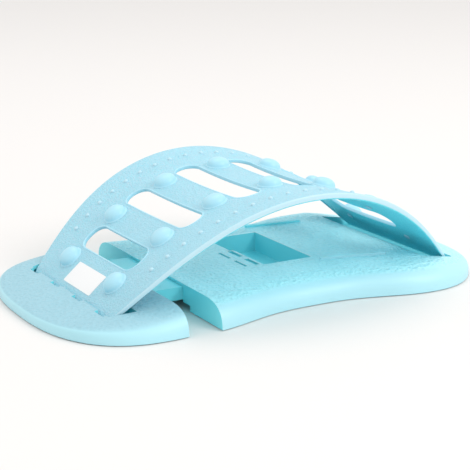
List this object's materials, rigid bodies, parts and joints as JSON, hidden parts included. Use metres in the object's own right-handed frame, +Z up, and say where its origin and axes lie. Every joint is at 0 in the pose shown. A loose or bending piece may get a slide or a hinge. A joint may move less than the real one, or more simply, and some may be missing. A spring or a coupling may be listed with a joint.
{
  "type": "lumbar back stretcher",
  "caption": "Windowed arch board with soft domes, sprung over a base that telescopes in two pieces with a click catch.",
  "frame": {"origin": "middle of the footprint with the base pulled fully out, on the surface that the stretcher lies on", "axes": "+X along the base from the sliding piece towards the main piece, +Y across it, +Z up"},
  "size_m": [0.39, 0.23, 0.0953],
  "materials": {
    "base_plastic": "light aqua, smooth flanks, grained deck",
    "board_plastic": "light aqua, fine matte grain",
    "dome_plastic": "light aqua, satin",
    "pad_rubber": "grey, matte",
    "screw_steel": "zinc plated"
  },
  "bodies": {
    "main": {"main_base": "base_plastic", "tunnel_cover": "base_plastic", "cover_screw_1": "screw_steel", "cover_screw_2": "screw_steel", "cover_screw_3": "screw_steel", "cover_screw_4": "screw_steel", "main_pad_1": "pad_rubber", "main_pad_2": "pad_rubber", "main_pad_3": "pad_rubber", "main_pad_4": "pad_rubber"},
    "slide": {"slide_base": "base_plastic", "slide_pad_1": "pad_rubber", "slide_pad_2": "pad_rubber"},
    "catch": {"release_catch": "base_plastic"},
    "arch_main": {"arch_board_main_half": "board_plastic", "dome_near_4": "dome_plastic", "dome_near_5": "dome_plastic", "dome_near_6": "dome_plastic", "dome_near_7": "dome_plastic", "dome_far_4": "dome_plastic", "dome_far_5": "dome_plastic", "dome_far_6": "dome_plastic", "dome_far_7": "dome_plastic"},
    "arch_slide": {"arch_board_slide_half": "board_plastic", "dome_near_1": "dome_plastic", "dome_near_2": "dome_plastic", "dome_near_3": "dome_plastic", "dome_far_1": "dome_plastic", "dome_far_2": "dome_plastic", "dome_far_3": "dome_plastic"}
  },
  "joints": [
    {"name": "base_telescope", "type": "slide", "parent": "main", "child": "slide", "axis": [1, 0, 0], "range_m": [0, 0.0273]},
    {"name": "catch_press", "type": "slide", "parent": "slide", "child": "catch", "axis": [0, 0, -1], "range_m": [0, 0.002], "stiffness_N_per_m": 1500},
    {"name": "arch_foot", "type": "hinge", "parent": "main", "child": "arch_main", "pos_m": [0.15731, 0, 0.01016], "axis": [0, 1, 0], "range_deg": [0, 8.45]},
    {"name": "arch_crest", "type": "hinge", "parent": "arch_main", "child": "arch_slide", "pos_m": [-0.00683, 0, 0.08355], "axis": [0, 1, 0], "range_deg": [-17.95, 0]}
  ],
  "couplings": [
    {"joint": "arch_foot", "follows": "base_telescope", "rad_per_m": 5.3376},
    {"joint": "arch_crest", "follows": "base_telescope", "rad_per_m": -11.386}
  ]
}
